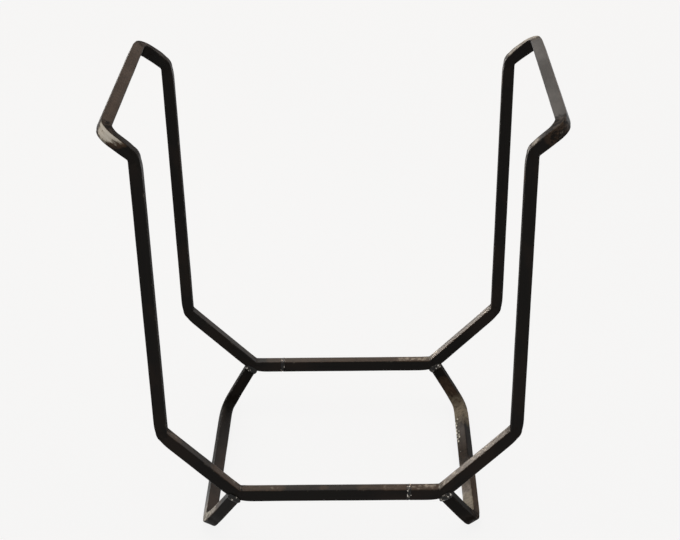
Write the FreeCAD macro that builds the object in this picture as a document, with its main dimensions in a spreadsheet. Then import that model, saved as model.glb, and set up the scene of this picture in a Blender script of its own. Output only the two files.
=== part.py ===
"""A firewood rack of bent square steel bar: two half hoops, two feet and the welds that join them.

Millimetres, +Z up, +X to the right, the front towards -Y. The origin is on the floor, midway between
the feet and midway between the front and the back. The rack is the same after half a turn about Z, so
each piece is described on the right, and its partner on the left is the same piece turned half round.
"""

import FreeCAD, Part
import math
import os

import Sketcher

# Driving dimensions, in millimetres and degrees
SIZES = {
    "bar_side": (12.7, "side of the square bar"),
    "edge_round": (1.0, "rounding along the four edges of the bar"),
    "frame_depth": (304.8, "front face of the front bars to the back face of the rear bars"),
    "floor_height": (55.0, "floor to the centre line of the bottom bars"),
    "corner_span": (212.0, "left to right between the bottom corners, on the centre lines"),
    "elbow_span": (364.0, "left to right between the lower bends of the uprights"),
    "elbow_rise": (72.5, "bottom bars up to the lower bends"),
    "neck_span": (379.0, "left to right between the upper bends of the uprights"),
    "neck_rise": (303.5, "lower bends up to the upper bends"),
    "handle_span": (439.0, "left to right between the handles"),
    "handle_rise": (23.0, "upper bends up to the handles"),
    "corner_bend": (2.5, "inside radius of the bottom corners"),
    "elbow_bend": (2.5, "inside radius of the lower bends"),
    "neck_bend": (6.0, "inside radius of the upper bends"),
    "handle_bend": (9.0, "inside radius of the handle corners"),
    "seam_inset": (34.0, "bottom corner to the middle of the butt weld beside it"),
    "seam_gap": (2.0, "gap between the bar ends that the butt weld fills"),
    "seam_width": (7.0, "width of the butt weld along the bar"),
    "seam_crown": (0.6, "height of the butt weld above the bar"),
    "seam_round": (0.4, "rounding of the butt weld's outer edges"),
    "foot_splay": (34.0, "tilt of each foot away from upright, in degrees"),
    "foot_run": (258.0, "front to back between the two bends of a foot"),
    "foot_bend": (12.0, "inside radius of the bends of a foot"),
    "foot_flat": (0.5, "depth of the flat dressed on the edge that a foot stands on"),
    "foot_gap": (0.3, "fit-up gap between the end of a foot and the corner above it"),
    "bead_length": (15.0, "length of a fillet bead along the joint"),
    "bead_crown": (2.6, "how far a fillet bead stands out from the bars"),
    "bead_root": (20.0, "angle that a fillet bead reaches behind the face it lies on, in degrees"),
}

# Places on the centre lines of a hoop
HALF_BAR = "Sizes.bar_side / 2"
HALF_DEPTH = f"(Sizes.frame_depth / 2 - {HALF_BAR})"
CORNER_X = "Sizes.corner_span / 2"
CORNER_Z = "Sizes.floor_height"
ELBOW_X = "Sizes.elbow_span / 2"
ELBOW_Z = f"({CORNER_Z} + Sizes.elbow_rise)"
NECK_X = "Sizes.neck_span / 2"
NECK_Z = f"({ELBOW_Z} + Sizes.neck_rise)"
HANDLE_X = "Sizes.handle_span / 2"
HANDLE_Z = f"({NECK_Z} + Sizes.handle_rise)"
NECK_LENGTH = f"hypot({HANDLE_X} - {NECK_X}; Sizes.handle_rise)"
NECK_TILT = f"(atan2(Sizes.handle_rise; {HANDLE_X} - {NECK_X}) / 1 deg)"
CORNER_TURN = f"atan2(Sizes.elbow_rise; {ELBOW_X} - {CORNER_X})"
CORNER_RADIUS = f"(Sizes.corner_bend + {HALF_BAR})"
ELBOW_RADIUS = f"(Sizes.elbow_bend + {HALF_BAR})"
NECK_RADIUS = f"(Sizes.neck_bend + {HALF_BAR})"
HANDLE_RADIUS = f"(Sizes.handle_bend + {HALF_BAR})"

# The butt weld, and the ends of the bars on either side of it
SEAM_X = f"({CORNER_X} - Sizes.seam_inset)"
STUB_END = f"({SEAM_X} + Sizes.seam_gap / 2)"

# A foot stands radially under the bend of a bottom corner, which turns about this point
BEND_X = f"({CORNER_X} - {CORNER_RADIUS} * tan({CORNER_TURN} / 2))"
BEND_Z = f"({CORNER_Z} + {CORNER_RADIUS})"
BEND_OUTSIDE = f"({CORNER_RADIUS} + {HALF_BAR})"
SPLAY = "Sizes.foot_splay"
EDGE_DROP = f"(({HALF_BAR} - Sizes.edge_round) * (cos({SPLAY}) + sin({SPLAY})) + Sizes.edge_round)"
RUN_Z = f"({EDGE_DROP} - Sizes.foot_flat)"
RUN_X = f"({BEND_X} + ({BEND_Z} - {RUN_Z}) * tan({SPLAY}))"
FOOT_RISE = f"(({BEND_Z} - {RUN_Z}) / cos({SPLAY}) - {BEND_OUTSIDE} - Sizes.foot_gap)"
JOINT_DROP = f"({BEND_OUTSIDE} + Sizes.foot_gap / 2)"
JOINT_X = f"({BEND_X} + {JOINT_DROP} * sin({SPLAY}))"
JOINT_Z = f"({BEND_Z} - {JOINT_DROP} * cos({SPLAY}))"

# Sketch points, by geometry number and position on it
START, END, CENTRE = 1, 2, 3
ORIGIN = (-1, 1)
ACROSS_LINE, UP_LINE = -1, -2

X_AXIS = FreeCAD.Vector(1, 0, 0)
Y_AXIS = FreeCAD.Vector(0, 1, 0)
Z_AXIS = FreeCAD.Vector(0, 0, 1)

doc = FreeCAD.newDocument("firewood_rack")
sheet = doc.addObject("Spreadsheet::Sheet", "Sizes")
for row, (name, (amount, meaning)) in enumerate(SIZES.items(), start=1):
    sheet.set(f"A{row}", name)
    sheet.set(f"B{row}", str(amount))
    sheet.set(f"C{row}", meaning)
    sheet.setAlias(f"B{row}", name)
doc.recompute()


def number(formula):
    """The present value of a formula, as a plain number."""
    result = sheet.evalExpression(formula)
    return float(getattr(result, "Value", result))


def spot(x, y):
    """A point of a sketch, from two formulas."""
    return FreeCAD.Vector(number(x), number(y), 0)


def place(thing, half_turn, x="0", y="0", z="0", lean="0"):
    """Put a piece at x, y, z, leaned about Y, and turn it half round Z if it is the left partner."""
    turn, sign = (180, -1) if half_turn else (0, 1)
    base = f"create(<<vector>>; {sign} * {x}; {sign} * {y}; {z})"
    rotation = f"create(<<rotation>>; {turn}; {lean}; 0)"
    thing.setExpression("Placement", f"create(<<placement>>; {base}; {rotation})")


def new_body(label):
    body = doc.addObject("PartDesign::Body", label)
    body.Label = label
    return body


def origin_plane(body, role):
    return next(plane for plane in body.Origin.OriginFeatures if plane.Role == role)


def new_sketch(body, name, role, x="0", y="0", lift="0", axis=Z_AXIS, turn="0"):
    """A sketch on an origin plane, shifted by x and y, lifted off the plane and turned about an axis."""
    sketch = body.newObject("Sketcher::SketchObject", name)
    sketch.AttachmentSupport = (origin_plane(body, role), [""])
    sketch.MapMode = "FlatFace"
    turned = FreeCAD.Rotation(axis, number(turn))
    sketch.AttachmentOffset = FreeCAD.Placement(FreeCAD.Vector(), turned)
    moves = {"Base.x": x, "Base.y": y, "Base.z": lift, "Rotation.Angle": turn}
    for move, formula in moves.items():
        if formula != "0":
            sketch.setExpression(f"AttachmentOffset.{move}", formula)
    return sketch


def constrain(sketch, kind, *items):
    return sketch.addConstraint(Sketcher.Constraint(kind, *items))


def dimension(sketch, name, formula, kind, *items):
    """A dimension with a name, tied to a formula."""
    index = constrain(sketch, kind, *items, number(formula))
    sketch.renameConstraint(index, name)
    sketch.setExpression(f"Constraints.{name}", formula)


def pin(sketch, name, geometry, position, x, y):
    """Hold a point at x, y from the sketch's origin."""
    for kind, suffix, formula, axis_line in (
        ("DistanceX", "across", x, UP_LINE),
        ("DistanceY", "up", y, ACROSS_LINE),
    ):
        if formula == "0":
            constrain(sketch, "PointOnObject", geometry, position, axis_line)
        else:
            dimension(sketch, f"{name}_{suffix}", formula, kind, *ORIGIN, geometry, position)


def bar_section(sketch, proud="0"):
    """The square of the bar with its rounded edges about the sketch's origin, or a larger one."""
    half = number(f"{HALF_BAR} + {proud}")
    rounding = number(f"Sizes.edge_round + {proud}")
    flat = half - rounding
    quarter = math.pi / 2
    for side in range(4):
        turned = FreeCAD.Rotation(Z_AXIS, math.degrees(side * quarter))
        low, high, centre = (
            turned.multVec(FreeCAD.Vector(x, y, 0)) for x, y in ((half, -flat), (half, flat), (flat, flat))
        )
        sketch.addGeometry(Part.LineSegment(low, high))
        circle = Part.Circle(centre, Z_AXIS, rounding)
        sketch.addGeometry(Part.ArcOfCircle(circle, side * quarter, (side + 1) * quarter))
    for side in range(4):
        line, arc, following = 2 * side, 2 * side + 1, (2 * side + 2) % 8
        constrain(sketch, "Tangent", line, END, arc, START)
        constrain(sketch, "Tangent", arc, END, following, START)
        constrain(sketch, "Horizontal" if side % 2 else "Vertical", line)
    right, corner, top, left, opposite_corner, bottom = 0, 1, 2, 4, 5, 6
    for arc in (3, 5, 7):
        constrain(sketch, "Equal", corner, arc)
    constrain(sketch, "Symmetric", corner, CENTRE, opposite_corner, CENTRE, *ORIGIN)
    dimension(sketch, "rounding", f"Sizes.edge_round + {proud}", "Radius", corner)
    full_side = f"Sizes.bar_side + 2 * {proud}"
    dimension(sketch, "width", full_side, "DistanceX", left, START, right, START)
    dimension(sketch, "height", full_side, "DistanceY", bottom, START, top, START)


def turns_left(before, corner, after):
    return (corner - before).cross(after - corner).z > 0


def bent_line(sketch, start, bends, end, stop_short="0", drop_last=False):
    """A centre line from start to end whose bends are arcs, tangent to the runs on both sides.

    start and end are x, y formulas, and each bend is a name, the x, y of its corner and its radius.
    The last run stops short of end, or past it if stop_short is negative, or is only a guide if
    drop_last is set, so that the line ends with its last arc.
    """
    corners = [spot(x, y) for _, x, y, _ in bends]
    target = spot(*end)
    last_point = target - (target - corners[-1]).normalize() * number(stop_short)
    stations = [spot(*start)] + corners + [last_point]
    run_start = stations[0]
    for (_, _, _, size), before, corner, after in zip(bends, stations, corners, stations[2:]):
        back = (before - corner).normalize()
        ahead = (after - corner).normalize()
        half_turn = (math.pi - back.getAngle(ahead)) / 2
        reach = number(size) * math.tan(half_turn)
        middle = (back + ahead).normalize() * number(size) * (1 / math.cos(half_turn) - 1)
        sketch.addGeometry(Part.LineSegment(run_start, corner + back * reach))
        sketch.addGeometry(Part.Arc(corner + back * reach, corner + middle, corner + ahead * reach))
        run_start = corner + ahead * reach
    last_run = sketch.addGeometry(Part.LineSegment(run_start, last_point), drop_last)
    for index, (name, x, y, size) in enumerate(bends):
        run, arc, next_run = 2 * index, 2 * index + 1, 2 * index + 2
        near, far = (START, END) if turns_left(*stations[index : index + 3]) else (END, START)
        constrain(sketch, "Tangent", run, END, arc, near)
        constrain(sketch, "Tangent", arc, far, next_run, START)
        dimension(sketch, f"{name}_radius", size, "Radius", arc)
        mark = sketch.addGeometry(Part.Point(corners[index]), True)
        constrain(sketch, "PointOnObject", mark, START, run)
        constrain(sketch, "PointOnObject", mark, START, next_run)
        pin(sketch, name, mark, START, x, y)
    pin(sketch, "start", 0, START, *start)
    if stop_short == "0":
        pin(sketch, "end", last_run, END, *end)
    else:
        mark = sketch.addGeometry(Part.Point(target), True)
        constrain(sketch, "PointOnObject", mark, START, last_run)
        pin(sketch, "end", mark, START, *end)
        dimension(sketch, "stop", f"abs({stop_short})", "Distance", last_run, END, mark, START)


def standing_rectangle(sketch, width, height):
    """A rectangle that stands on the sketch's X axis, centred on its Y axis."""
    half, top = number(width) / 2, number(height)
    corners = [FreeCAD.Vector(x, y, 0) for x, y in ((-half, 0), (half, 0), (half, top), (-half, top))]
    for index, corner in enumerate(corners):
        sketch.addGeometry(Part.LineSegment(corner, corners[(index + 1) % 4]))
    for index in range(4):
        constrain(sketch, "Coincident", index, END, (index + 1) % 4, START)
        constrain(sketch, "Vertical" if index % 2 else "Horizontal", index)
    constrain(sketch, "Symmetric", 0, START, 0, END, *ORIGIN)
    dimension(sketch, "width", width, "DistanceX", 0, START, 0, END)
    dimension(sketch, "height", height, "DistanceY", 1, START, 1, END)


def swept_bar(body, name, section, line):
    bar = body.newObject("PartDesign::AdditivePipe", name)
    bar.Profile = section
    bar.Spine = line
    return bar


def mirrored(body, name, features, role):
    mirror = body.newObject("PartDesign::Mirrored", name)
    mirror.Originals = features
    mirror.MirrorPlane = (origin_plane(body, role), [""])
    body.Tip = mirror
    return mirror


def cut_through(body, name, sketch):
    """Cut a sketch through the whole body, both ways, and see that it took something away."""
    doc.recompute()
    before = body.Shape.Volume
    pocket = body.newObject("PartDesign::Pocket", name)
    pocket.Profile = sketch
    pocket.Type = "ThroughAll"
    pocket.Midplane = True
    doc.recompute()
    if body.Shape.Volume >= before:
        raise RuntimeError(f"{name} of {body.Label} cuts nothing")


def hoop(label, half_turn):
    """One bent bar: a stub in front, an upright, a handle, an upright behind and a long bottom bar."""
    body = new_body(label)
    bar_end = new_sketch(body, "bar_end", "YZ_Plane", HALF_DEPTH, CORNER_Z, STUB_END)
    bar_section(bar_end)
    side_line = new_sketch(body, "side_line", "XZ_Plane", lift=f"-{HALF_DEPTH}")
    side_bends = [
        ("corner", CORNER_X, CORNER_Z, CORNER_RADIUS),
        ("elbow", ELBOW_X, ELBOW_Z, ELBOW_RADIUS),
        ("neck", NECK_X, NECK_Z, NECK_RADIUS),
    ]
    bent_line(side_line, (STUB_END, CORNER_Z), side_bends, (HANDLE_X, HANDLE_Z), HANDLE_RADIUS)
    side = swept_bar(body, "side", bar_end, side_line)
    handle_middle = new_sketch(body, "handle_middle", "XZ_Plane", HANDLE_X, HANDLE_Z, turn=NECK_TILT)
    bar_section(handle_middle)
    handle_line = new_sketch(
        body, "handle_line", "XY_Plane", HANDLE_X, "0", HANDLE_Z, Y_AXIS, f"180 - {NECK_TILT}"
    )
    handle_bend = ("handle", "0", HALF_DEPTH, HANDLE_RADIUS)
    bent_line(handle_line, ("0", "0"), [handle_bend], (NECK_LENGTH, HALF_DEPTH), drop_last=True)
    handle = swept_bar(body, "handle", handle_middle, handle_line)
    mirrored(body, "front_half", [side, handle], "XZ_Plane")
    long_bar = body.newObject("PartDesign::Pad", "long_bar")
    long_bar.Profile = bar_end
    long_bar.Reversed = True
    long_bar.setExpression("Length", f"2 * {SEAM_X}")
    place(body, half_turn)
    return body


def foot(label, half_turn):
    """A bar bent into a shallow U that leans outwards, its ends cut to seat under the bottom corners."""
    body = new_body(label)
    run_middle = new_sketch(body, "run_middle", "XZ_Plane")
    bar_section(run_middle)
    foot_line = new_sketch(body, "foot_line", "YZ_Plane")
    toe = ("toe", "Sizes.foot_run / 2", "0", f"Sizes.foot_bend + {HALF_BAR}")
    bent_line(foot_line, ("0", "0"), [toe], (HALF_DEPTH, FOOT_RISE), "-Sizes.bar_side")
    half = swept_bar(body, "rear_half", run_middle, foot_line)
    mirrored(body, "front_half", [half], "XZ_Plane")
    seat_cut = new_sketch(body, "seat_cut", "YZ_Plane", y=FOOT_RISE)
    standing_rectangle(seat_cut, "Sizes.frame_depth + 2 * Sizes.bar_side", "2 * Sizes.bar_side")
    cut_through(body, "seats", seat_cut)
    floor_cut = new_sketch(
        body,
        "floor_cut",
        "XZ_Plane",
        f"-{RUN_Z} * sin({SPLAY})",
        f"-{RUN_Z} * cos({SPLAY})",
        turn=f"180 - {SPLAY}",
    )
    standing_rectangle(floor_cut, "2 * Sizes.bar_side", "Sizes.bar_side")
    cut_through(body, "floor_flat", floor_cut)
    place(body, half_turn, RUN_X, "0", RUN_Z, f"-{SPLAY}")
    return body


def seam_weld(label, half_turn):
    """The butt weld between two bar ends: a web in the gap and a low band round both ends."""
    body = new_body(label)
    band_section = new_sketch(body, "band_section", "YZ_Plane")
    bar_section(band_section, "Sizes.seam_crown")
    band = body.newObject("PartDesign::Pad", "band")
    band.Profile = band_section
    band.Midplane = True
    band.setExpression("Length", "Sizes.seam_width")
    doc.recompute()
    ends = [
        f"Face{index}"
        for index, face in enumerate(band.Shape.Faces, start=1)
        if abs(face.CenterOfMass.x) > number("Sizes.seam_width") / 4
    ]
    rounded = body.newObject("PartDesign::Fillet", "rounded")
    rounded.Base = (band, ends)
    rounded.setExpression("Radius", "Sizes.seam_round")
    doc.recompute()
    before = body.Shape.Volume
    bar_end = new_sketch(body, "bar_end", "YZ_Plane", lift="Sizes.seam_width / 2")
    bar_section(bar_end)
    socket = body.newObject("PartDesign::Pocket", "socket")
    socket.Profile = bar_end
    socket.setExpression("Length", "(Sizes.seam_width - Sizes.seam_gap) / 2")
    mirrored(body, "other_socket", [socket], "YZ_Plane")
    doc.recompute()
    if body.Shape.Volume >= before:
        raise RuntimeError(f"the sockets of {label} cut nothing")
    place(body, half_turn, SEAM_X, f"-{HALF_DEPTH}", CORNER_Z)
    return body


def bead_outline(sketch):
    """Half of a round-ended bar, lying on the sketch's X axis about its origin."""
    reach, crown = number("Sizes.bead_length / 2"), number("Sizes.bead_crown")
    flat = reach - crown
    quarter = math.pi / 2
    left, right = FreeCAD.Vector(-reach, 0, 0), FreeCAD.Vector(reach, 0, 0)
    top_left, top_right = FreeCAD.Vector(-flat, crown, 0), FreeCAD.Vector(flat, crown, 0)
    right_end, left_end = (Part.Circle(FreeCAD.Vector(x, 0, 0), Z_AXIS, crown) for x in (flat, -flat))
    base = sketch.addGeometry(Part.LineSegment(left, right))
    right_arc = sketch.addGeometry(Part.ArcOfCircle(right_end, 0, quarter))
    top = sketch.addGeometry(Part.LineSegment(top_right, top_left))
    left_arc = sketch.addGeometry(Part.ArcOfCircle(left_end, quarter, 2 * quarter))
    constrain(sketch, "Coincident", base, END, right_arc, START)
    constrain(sketch, "Tangent", right_arc, END, top, START)
    constrain(sketch, "Tangent", top, END, left_arc, START)
    constrain(sketch, "Coincident", left_arc, END, base, START)
    constrain(sketch, "PointOnObject", right_arc, CENTRE, ACROSS_LINE)
    constrain(sketch, "PointOnObject", left_arc, CENTRE, ACROSS_LINE)
    constrain(sketch, "Symmetric", base, START, base, END, *ORIGIN)
    dimension(sketch, "length", "Sizes.bead_length", "DistanceX", base, START, base, END)
    dimension(sketch, "crown", "Sizes.bead_crown", "Radius", right_arc)


def foot_weld(label, half_turn, row_sign, face_sign, corner_hoop, corner_foot):
    """A fillet bead along the joint of a foot and a corner, on one face of the bars.

    It is a round-ended bar about the joint line, a little more than half of it, so that it also fills
    the grooves behind the face, and the two bars are cut out of it.
    """
    bead = new_body(f"{label}_bead")
    outwards = "0" if face_sign > 0 else "180"
    outline = new_sketch(bead, "outline", "XY_Plane", axis=X_AXIS, turn=outwards)
    bead_outline(outline)
    turned = bead.newObject("PartDesign::Revolution", "turned")
    turned.Profile = outline
    turned.ReferenceAxis = (outline, ["H_Axis"])
    turned.Midplane = True
    turned.setExpression("Angle", "180 + 2 * Sizes.bead_root")
    face_y = f"({row_sign} * {HALF_DEPTH} + {face_sign} * {HALF_BAR})"
    place(bead, half_turn, JOINT_X, face_y, JOINT_Z, f"-{SPLAY}")
    clear_of_hoop = doc.addObject("Part::Cut", f"{label}_clear_of_hoop")
    clear_of_hoop.Base = bead
    clear_of_hoop.Tool = corner_hoop
    weld = doc.addObject("Part::Cut", label)
    weld.Base = clear_of_hoop
    weld.Tool = corner_foot
    weld.Label = label
    return weld


# Each side of the rack: whether it is the half-turned one, and where its first and second rows end up
SIDES = (("right", False, ("front", "rear")), ("left", True, ("rear", "front")))

pieces = []
for side, half_turn, rows in SIDES:
    side_hoop = hoop(f"{side}_hoop", half_turn)
    side_foot = foot(f"{side}_foot", half_turn)
    pieces += [side_hoop, side_foot, seam_weld(f"{rows[0]}_seam_weld", half_turn)]
    for row, row_sign in zip(rows, (-1, 1)):
        for face, face_sign in (("outer", row_sign), ("inner", -row_sign)):
            label = f"{row}_{side}_foot_weld_{face}"
            pieces.append(foot_weld(label, half_turn, row_sign, face_sign, side_hoop, side_foot))
doc.recompute()

for thing in doc.Objects:
    if "Invalid" in thing.State or "Error" in thing.State:
        raise RuntimeError(f"{thing.Label} failed to build: {thing.State}")
for piece in pieces:
    if piece.Shape.isNull() or not piece.Shape.isValid() or len(piece.Shape.Solids) != 1:
        raise RuntimeError(f"{piece.Label} is not one sound solid")

os.makedirs("parts", exist_ok=True)
for piece in pieces:
    piece.Shape.exportStep(f"parts/{piece.Label}.step")
    print(f"{piece.Label}: {piece.Shape.Volume:.0f} cubic mm")
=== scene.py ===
"""Firewood rack: two hoops of black square bar, welded end to end, standing on two splayed feet."""

import math
import random

import bmesh
import bpy
from mathutils import Matrix, Vector, geometry, noise


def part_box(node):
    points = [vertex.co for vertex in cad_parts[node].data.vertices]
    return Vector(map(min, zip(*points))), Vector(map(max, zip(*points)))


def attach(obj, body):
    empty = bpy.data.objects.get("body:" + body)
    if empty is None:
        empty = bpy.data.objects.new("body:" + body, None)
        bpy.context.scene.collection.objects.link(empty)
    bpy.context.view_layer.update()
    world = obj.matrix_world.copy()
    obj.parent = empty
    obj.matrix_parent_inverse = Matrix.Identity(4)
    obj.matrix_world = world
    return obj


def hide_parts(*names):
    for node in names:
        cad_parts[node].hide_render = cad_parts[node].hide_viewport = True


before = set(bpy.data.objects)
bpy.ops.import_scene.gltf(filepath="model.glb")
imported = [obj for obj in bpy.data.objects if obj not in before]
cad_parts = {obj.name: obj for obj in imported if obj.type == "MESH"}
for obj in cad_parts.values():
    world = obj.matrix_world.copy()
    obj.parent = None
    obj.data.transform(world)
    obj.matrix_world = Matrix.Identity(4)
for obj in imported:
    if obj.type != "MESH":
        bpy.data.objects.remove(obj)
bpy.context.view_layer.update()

MM = 0.001
UP = Vector((0.0, 0.0, 1.0))
TO_REAR = Vector((0.0, 1.0, 0.0))
SIDES = ((1, "right"), (-1, "left"))

# The square bar that the whole rack is bent from
BAR_SIDE = 12.7 * MM
HALF_BAR = BAR_SIDE / 2
EDGE_ROUND = 1.0 * MM

# Where the hoops' centre lines run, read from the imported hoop
hoop_low, hoop_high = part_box("right_hoop")
LINE_Y = hoop_high.y - HALF_BAR
FRONT_Y = -LINE_Y
REAR_Y = LINE_Y
BOTTOM_Z = hoop_low.z + HALF_BAR

# A hoop's corners, as (across the rack from its middle, up from the bottom bars)
CORNER = (106.0 * MM, 0.0)
ELBOW = (182.0 * MM, 72.5 * MM)
NECK = (189.5 * MM, 376.0 * MM)
HANDLE = (219.5 * MM, 399.0 * MM)

# Bend radii of the centre line: the former's radius and half a bar
CORNER_BEND = 2.5 * MM + HALF_BAR
ELBOW_BEND = 2.5 * MM + HALF_BAR
NECK_BEND = 3.5 * MM + HALF_BAR
HANDLE_BEND = 9.0 * MM + HALF_BAR
TOE_BEND = 12.0 * MM + HALF_BAR

# The butt welds that join the hoops in the bottom bars
SEAM_X = CORNER[0] - 34.0 * MM
SEAM_GAP = 2.0 * MM
SEAM_WIDTH = 5.5 * MM
SEAM_STEPS = 14
SEAM_CROWN = 0.30 * MM
SEAM_SINK = 0.6
SEAM_GROOVE = 1.1 * MM
SEAM_FILL = 0.5
SEAM_LUMP = 2.4 * MM
SEAM_RAGGED = 0.45 * MM
RAGGED_SHIFT = 5.0

# The feet
FOOT_SPLAY = math.radians(34.0)
FOOT_FLAT = 0.5 * MM
FOOT_GAP = 0.3 * MM
TOE_Y = 129.0 * MM

# The fillet beads between the feet and the corners
BEAD_SEED = 12
BEAD_LENGTH = 15.5 * MM
BEAD_CROWN = 2.5 * MM
BEAD_BLUNT = 3.2
BEAD_SIDES = 28
BEAD_TILT = math.radians(9.0)
BEAD_RAISE = 1.8 * MM
BEAD_WIDEN = 1.55
BEAD_FLATTEN = 0.88
BEAD_LUMP = 0.8 * MM
LUMP_LENGTH = 5.0 * MM
LUMP_WIDTH = 2.5 * MM
BEAD_WANDER = 0.5 * MM
WANDER_LENGTH = 6.0 * MM
WANDER_RANGE = 50.0
RIPPLE_PITCH = 2.4 * MM
RIPPLE_STEPS = 6
RIPPLE_DEPTH = 0.09
RIPPLE_ROUND = 0.7
RIPPLE_BOW = 1.3 * MM
MERGE_DISTANCE = 0.001 * MM
# How strongly glints are painted along the top of each fillet bead
BEAD_GLINT = {
    ("front", "right"): 1.0,
    ("rear", "right"): 0.8,
    ("front", "left"): 0.45,
    ("rear", "left"): 0.6,
}

# How finely the bar is drawn
RING_STEP = 2.5 * MM
BEND_STEPS = 12
FACE_CUTS = 4
ROUND_SEGMENTS = 3

# How bending by hand left it: swollen, drawn in and flaked at the bends, turned in its runs, and uneven
BEND_SWELL = 0.45 * MM
BEND_DRAW = 1.2 * MM
SWELL_REACH = 14.0 * MM
FLAKE_REACH = 26.0 * MM
HANDLE_TURN = {1: math.radians(15.0), -1: math.radians(8.0)}
FOOT_TURN = {1: 0.0, -1: math.radians(-11.0)}
TURN_RAMP = 22.0 * MM
UNEVEN = 0.10 * MM
UNEVEN_LENGTH = 26.0 * MM
UNEVEN_WIDTH = 9.0 * MM

# What is marked on a bar's vertices for its material
MARKS = ("bent", "rub_and_sheen", "dull", "scuff_and_sheen", "chipped")

# The patterns in the lacquer: their sizes, the flecks' contrast, and the share of cells that have no chip
STREAK_LENGTH = 90.0 * MM
STREAK_WIDTH = 1.6 * MM
PATCH_LENGTH = 60.0 * MM
PATCH_WIDTH = 28.0 * MM
GRAIN_SIZE = 0.8 * MM
FLECK_SIZE = 5.0 * MM
FLECK_CONTRAST = 1.5
EDGE_PATCH = 11.0 * MM
CHIP_CELL_LENGTH = 7.0 * MM
CHIP_CELL_WIDTH = 2.8 * MM
CHIPS_SPARED = 0.22

# How far in from the bar's edges rubbing and chipping begin, and are full
RUB_BAND = (1.5 * MM, 0.45 * MM)
CHIP_BAND = (5.5 * MM, 2.5 * MM)

# The patterns in the weld metal: their sizes, and how much the painted glints add along a bead's top
OXIDE_SIZE = 3.6 * MM
PIT_SIZE = 0.7 * MM
CREST_GLINT = 0.10

# Levels of a mask, as the colours of a ramp
NONE = (0.0, 0.0, 0.0, 1.0)
FAINT = (0.2, 0.2, 0.2, 1.0)
FULL = (1.0, 1.0, 1.0, 1.0)

# The setting and the sockets of a Mix node that mixes colours
COLOUR_MIX = {"data_type": "RGBA"}
SHARE = 0
UNDER = 6
OVER = 7
MIXED = 2


def linear(hex_colour):
    """Turns an sRGB hex colour into linear red, green, blue and alpha."""
    channels = [int(hex_colour[i:i + 2], 16) / 255 for i in (1, 3, 5)]
    lit = [c / 12.92 if c <= 0.04045 else ((c + 0.055) / 1.055) ** 2.4 for c in channels]
    return (*lit, 1.0)


def add_node(tree, kind, settings=None, inputs=None, stops=None):
    """Adds a node with its settings, its input values or links, and a colour ramp's stops."""
    node = tree.nodes.new(kind)
    for name, value in (settings or {}).items():
        setattr(node, name, value)
    for socket, value in (inputs or {}).items():
        if isinstance(value, bpy.types.NodeSocket):
            tree.links.new(value, node.inputs[socket])
        else:
            node.inputs[socket].default_value = value
    if stops:
        ramp = node.color_ramp.elements
        while len(ramp) < len(stops):
            ramp.new(1.0)
        for element, (position, colour) in zip(ramp, stops):
            element.position = position
            element.color = colour
    return node


def new_material(name):
    """Makes an empty node material."""
    material = bpy.data.materials.new(name)
    material.use_nodes = True
    material.node_tree.nodes.clear()
    return material


def lacquer_patterns(tree, stock):
    """The patterns that the lacquer's colour, gloss and bumps share, drawn along the straight stock: rolling
    streaks, patches where it is thin, the grain of the scale, as coarse as orange peel, and flecks."""
    streak_space = add_node(tree, "ShaderNodeMapping", inputs={
        "Vector": stock, "Scale": (1 / STREAK_LENGTH, 1 / STREAK_WIDTH, 1 / STREAK_WIDTH)}).outputs[0]
    streaks = add_node(tree, "ShaderNodeTexNoise", inputs={
        "Vector": streak_space, "Scale": 1.0, "Detail": 5.0, "Roughness": 0.62}).outputs["Fac"]
    patch_space = add_node(tree, "ShaderNodeMapping", inputs={
        "Vector": stock, "Scale": (1 / PATCH_LENGTH, 1 / PATCH_WIDTH, 1 / PATCH_WIDTH)}).outputs[0]
    patches = add_node(tree, "ShaderNodeTexNoise", inputs={
        "Vector": patch_space, "Scale": 1.0, "Detail": 5.0, "Roughness": 0.55}).outputs["Fac"]
    grain = add_node(tree, "ShaderNodeTexNoise", inputs={
        "Vector": stock, "Scale": 1 / GRAIN_SIZE, "Detail": 3.0, "Roughness": 0.6}).outputs["Fac"]
    flecks = add_node(tree, "ShaderNodeTexNoise", inputs={
        "Vector": stock, "Scale": 1 / FLECK_SIZE, "Detail": 6.0, "Roughness": 0.68}).outputs["Fac"]
    return streaks, patches, grain, flecks


def sound_lacquer(tree, streaks, patches):
    """The colour of whole lacquer: near black, faintly streaked, and a little browner where it is thin."""
    black = add_node(tree, "ShaderNodeValToRGB", inputs={"Fac": streaks}, stops=[
        (0.30, linear("#0b0a08")), (0.72, linear("#171310"))]).outputs["Color"]
    thin = add_node(tree, "ShaderNodeValToRGB", inputs={"Fac": patches}, stops=[
        (0.50, NONE), (0.62, FULL)]).outputs["Color"]
    return add_node(tree, "ShaderNodeMix", COLOUR_MIX, {
        SHARE: thin, UNDER: black, OVER: linear("#1e1712")}).outputs[MIXED]


def rubbed_and_painted_sheen(tree, streaks, flecks, rub_and_sheen):
    """How far hands and logs have rubbed the lacquer, and how strong the painted sheen and highlights are, in
    streaks along the bar and in flecks.
    """
    contrast = add_node(tree, "ShaderNodeMath", {"operation": "MULTIPLY_ADD"}, {
        0: flecks, 1: FLECK_CONTRAST, 2: 0.5 - FLECK_CONTRAST / 2}).outputs[0]
    pattern = add_node(tree, "ShaderNodeMath", {"operation": "ADD"}, {0: streaks, 1: contrast}).outputs[0]
    return add_node(tree, "ShaderNodeMath", {"operation": "MULTIPLY"}, {0: pattern, 1: rub_and_sheen}).outputs[0]


def edge_nearness(tree, stock):
    """Half a bar at an edge of the bar, and less by the distance from that edge."""
    across = add_node(tree, "ShaderNodeSeparateXYZ", inputs={"Vector": stock}).outputs
    width = add_node(tree, "ShaderNodeMath", {"operation": "ABSOLUTE"}, {0: across["Y"]}).outputs[0]
    height = add_node(tree, "ShaderNodeMath", {"operation": "ABSOLUTE"}, {0: across["Z"]}).outputs[0]
    return add_node(tree, "ShaderNodeMath", {"operation": "MINIMUM"}, {0: width, 1: height}).outputs[0]


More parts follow.
